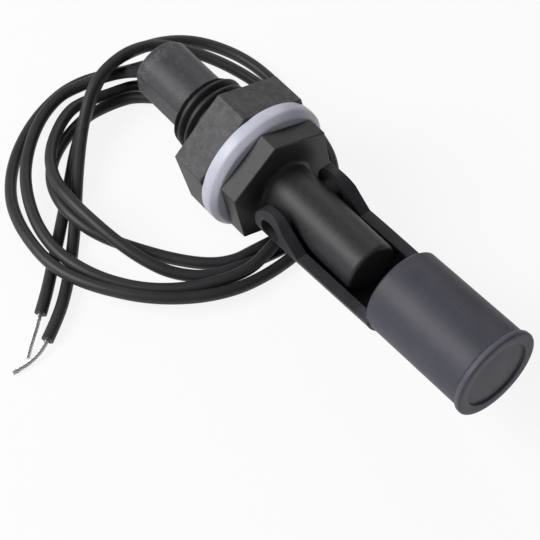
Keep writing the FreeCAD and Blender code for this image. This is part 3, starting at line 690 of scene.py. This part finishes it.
# the parting line: a low ridge whose height comes and goes along the cylinder
steps = np.linspace(FLOAT_START + 1.0 * MM, FLOAT_END - 4.5 * MM, 90)[:, None]
across = np.linspace(-1, 1, 5)[None]
worn = np.clip(0.55 + 0.5 * np.sin(steps / (1.9 * MM)) + 0.4 * np.sin(steps / (0.7 * MM)), 0.1, 1)
lift = (FLOAT_RADIUS - PARTING_SINK
        + (PARTING_SINK + PARTING_HEIGHT * worn) * (1 - across ** 2))
angle = np.radians(PARTING_TURN) + across * PARTING_WIDTH / 2 / FLOAT_RADIUS
ridge = np.stack([np.broadcast_to(steps, lift.shape), lift * np.cos(angle),
                  FLOAT_RISE + lift * np.sin(angle)], axis=-1)
under = ridge[:, ::-1].copy()
under[..., 1:] -= (under[..., 1:] - [0, FLOAT_RISE]) * 0.02
line_shell = skin(tilted(np.concatenate([ridge, under[:, 1:-1]], axis=1)))
solid("parting_line", [line_shell], foam, "float", 60)


# Cap: a disc welded on the float's open end. Its lip stands out past the cylinder, its face is
# recessed, and the weld has pressed out a thin ragged bead behind the lip.
CAP_RADIUS = 8.6 * MM
CAP_LIP = 1.3 * MM
CAP_EDGE = 0.45 * MM
RECESS_RADIUS = 6.45 * MM
RECESS = 0.45 * MM
SPIGOT_RADIUS = 6.75 * MM
SPIGOT = 2.0 * MM
BEAD_RADIUS = 0.22 * MM
DISH = 0.14 * MM

face = FLOAT_END + CAP_LIP
cap_profile = [(FLOAT_END - SPIGOT, SPIGOT_RADIUS - 1.2 * MM), (FLOAT_END - SPIGOT, SPIGOT_RADIUS),
               (FLOAT_END, SPIGOT_RADIUS), (FLOAT_END, CAP_RADIUS - CAP_EDGE),
               (FLOAT_END + 0.1 * MM, CAP_RADIUS - 0.16 * MM),
               (FLOAT_END + 0.35 * MM, CAP_RADIUS - 0.03 * MM)]
cap_profile += quarter(1, 0, (face - CAP_EDGE, CAP_RADIUS - CAP_EDGE, CAP_EDGE), 6)
cap_profile += [(face, RECESS_RADIUS + 0.14 * MM), (face - 0.04 * MM, RECESS_RADIUS + 0.04 * MM),
                (face - 0.12 * MM, RECESS_RADIUS), (face - RECESS + 0.1 * MM, RECESS_RADIUS),
                (face - RECESS + 0.02 * MM, RECESS_RADIUS - 0.05 * MM),
                (face - RECESS, RECESS_RADIUS - 0.16 * MM)]
cap_profile += [(face - RECESS + DISH * np.cos(s * np.pi / 2), s * RECESS_RADIUS)
                for s in (0.93, 0.8, 0.6, 0.4, 0.2)]
cap_profile = np.array(cap_profile)
cap_rings = polar(cap_profile[:, :1], cap_profile[:, 1:], turn)
cap_rings[..., 2] += FLOAT_RISE

# the weld bead: a ring of round sections whose thickness changes raggedly on the way round
spin = turn[0]
ragged = (0.6 + 0.25 * np.sin(23 * spin) * np.sin(7 * spin + 1) + 0.25 * np.sin(41 * spin + 2)
          + 0.2 * np.sin(67 * spin))
ragged = np.clip(ragged, 0.25, 1.2)[:, None]
ring = np.linspace(0, 2 * np.pi, 12, endpoint=False)[None]
bead_x = FLOAT_END - 0.12 * MM + BEAD_RADIUS * ragged * np.sin(ring) * 0.9
bead_r = FLOAT_RADIUS + BEAD_RADIUS * (ragged * np.cos(ring) + 0.1)
bead = np.stack([bead_x, bead_r * np.cos(spin)[:, None],
                 bead_r * np.sin(spin)[:, None] + FLOAT_RISE], axis=-1)
bead = np.concatenate([bead, bead[:1]])
bead_points, bead_faces = skin(tilted(bead), (False, False))

# the cap is paler and bluer than the barrel: partly a greyer plastic, partly painted light
# standing in for the front light its face would get, since it turns away from the key lamp
cap_plastic_painted_lighter = finish("cap_polypropylene_painted_light", (0.1, 0.1, 0.125), 0.52, 0.35)
spread = noise(cap_plastic_painted_lighter, 3 * MM, 5.0, 0.7)
set_base(cap_plastic_painted_lighter, ramp(cap_plastic_painted_lighter, spread, [(0.3, (0.085, 0.085, 0.108)),
                                                 (0.7, (0.125, 0.123, 0.15))]))
set_bump(cap_plastic_painted_lighter, noise(cap_plastic_painted_lighter, 0.25 * MM, 3.0, 0.6), 0.012 * MM)
cap = solid("welded_cap", [skin(tilted(cap_rings))], cap_plastic_painted_lighter, "float", 40)
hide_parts("float_cap")
solid("weld_bead", [(bead_points, bead_faces)], foam, "float", 60)


# Inside the body: the reed switch with its blades and soldered leads, the magnet in the float
# and the resin in the tail, which keep the shapes of their solids.
resin = finish("casting_resin", (0.02, 0.018, 0.018), 0.3, 0.5)
set_bump(resin, noise(resin, 2.0 * MM, 2.0), 0.05 * MM)
glass = finish("reed_glass", (0.75, 0.85, 0.8), 0.05, 0.5)
glass.node_tree.nodes["Principled BSDF"].inputs["Transmission Weight"].default_value = 0.9
set_bump(glass, noise(glass, 1.5 * MM, 1.0), 0.004 * MM)
plated = finish("plated_wire", (0.75, 0.72, 0.66), 0.3, 0.5, 1.0)
set_bump(plated, noise(plated, 0.3 * MM, 2.0), 0.004 * MM)
solder = finish("solder", (0.6, 0.6, 0.62), 0.38, 0.5, 1.0)
set_bump(solder, noise(solder, 0.4 * MM, 2.0), 0.02 * MM)
sleeve = finish("shrunk_sleeve", (0.02, 0.02, 0.022), 0.45, 0.5)
set_bump(sleeve, noise(sleeve, 0.5 * MM, 2.0), 0.02 * MM)
ferrite = finish("ferrite", (0.035, 0.034, 0.036), 0.6, 0.4)
set_bump(ferrite, noise(ferrite, 0.1 * MM, 3.0), 0.01 * MM)
INSIDE = {"potting": resin, "magnet": ferrite, "magnet_glue": resin, "reed_glass": glass,
          "reed_blade_rear": plated, "reed_blade_front": plated, "link_sleeve": sleeve,
          "solder_1": solder, "solder_2": solder, "joint_sleeve_1": sleeve,
          "joint_sleeve_2": sleeve, "wire_core_1": tinned, "wire_core_2": tinned}
for node_name, material in INSIDE.items():
    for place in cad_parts[node_name].material_slots:
        place.material = material


# Stage: a plain white floor that the coil and the float rest on, under a large soft light from
# the left, a weak one from behind and an even pale surrounding.
FLOOR_Z = -13.6 * MM
KEY_FROM = np.array([-0.37, -0.66, 0.65])
KEY_SIZE = 0.35
KEY_POWER = 3.2
BACK_FROM = np.array([-0.55, 0.75, 0.55])
BACK_SIZE = 0.3
BACK_POWER = 0.5
LAMP_DISTANCE = 0.6
ROOM_STRENGTH = 0.18
FLOOR_HALF = 8.0
PAPER_SEEN = 0.95
PAPER_SHADOW = 0.12
PAPER_BOUNCE = 0.45

floor_mesh = bpy.data.meshes.new("floor")
corners = np.array([(-1, -1), (1, -1), (1, 1), (-1, 1)]) * FLOOR_HALF
floor_mesh.from_pydata([(x, y, FLOOR_Z) for x, y in corners.tolist()], [], [(0, 1, 2, 3)])
floor = bpy.data.objects.new("floor", floor_mesh)
bpy.context.scene.collection.objects.link(floor)

# white paper: shown as a white glow that takes on a share of the object's shadow, while the
# object is lit by a greyer sheet
paper = bpy.data.materials.new("white_paper")
paper.use_nodes = True
nodes = paper.node_tree.nodes
links = paper.node_tree.links
nodes.clear()
ray = nodes.new("ShaderNodeLightPath")
seen = nodes.new("ShaderNodeMath")
seen.operation = "ADD"
seen_too = nodes.new("ShaderNodeMath")
seen_too.operation = "ADD"
seen_too.use_clamp = True
glow = nodes.new("ShaderNodeEmission")
glow.inputs["Color"].default_value = (1, 1, 1, 1)
glow.inputs["Strength"].default_value = 1.0
shaded = nodes.new("ShaderNodeBsdfDiffuse")
shaded.inputs["Color"].default_value = (PAPER_SEEN, PAPER_SEEN, PAPER_SEEN, 1)
shown = nodes.new("ShaderNodeMixShader")
shown.inputs["Fac"].default_value = PAPER_SHADOW
lighting = nodes.new("ShaderNodeBsdfDiffuse")
lighting.inputs["Color"].default_value = (PAPER_BOUNCE, PAPER_BOUNCE, PAPER_BOUNCE, 1)
both = nodes.new("ShaderNodeMixShader")
out = nodes.new("ShaderNodeOutputMaterial")
links.new(ray.outputs["Is Camera Ray"], seen.inputs[0])
links.new(ray.outputs["Is Glossy Ray"], seen.inputs[1])
links.new(seen.outputs[0], seen_too.inputs[0])
links.new(ray.outputs["Is Transmission Ray"], seen_too.inputs[1])
links.new(glow.outputs[0], shown.inputs[1])
links.new(shaded.outputs[0], shown.inputs[2])
links.new(seen_too.outputs[0], both.inputs["Fac"])
links.new(lighting.outputs[0], both.inputs[1])
links.new(shown.outputs[0], both.inputs[2])
links.new(both.outputs[0], out.inputs["Surface"])
floor_mesh.materials.append(paper)


def soft_light(name, direction, distance, size, power):
    """Square lamp at a distance along a direction, facing the part."""
    lamp = bpy.data.lights.new(name, "AREA")
    lamp.size = size
    lamp.energy = power
    light = bpy.data.objects.new(name, lamp)
    bpy.context.scene.collection.objects.link(light)
    ahead = -direction / np.linalg.norm(direction)
    side = np.cross(ahead, (0, 0, 1.0))
    side /= np.linalg.norm(side)
    turn = np.eye(4)
    turn[:3, :3] = np.stack([side, np.cross(side, ahead), -ahead], axis=1)
    turn[:3, 3] = -ahead * distance
    light.matrix_world = Matrix(turn.tolist())


soft_light("soft_box_left", KEY_FROM, LAMP_DISTANCE, KEY_SIZE, KEY_POWER)
soft_light("soft_box_back", BACK_FROM, LAMP_DISTANCE, BACK_SIZE, BACK_POWER)

world = bpy.data.worlds.new("pale_room")
world.use_nodes = True
world.node_tree.nodes["Background"].inputs["Color"].default_value = (1, 1, 1, 1)
world.node_tree.nodes["Background"].inputs["Strength"].default_value = ROOM_STRENGTH
bpy.context.scene.world = world
bpy.context.scene.view_settings.view_transform = "Standard"
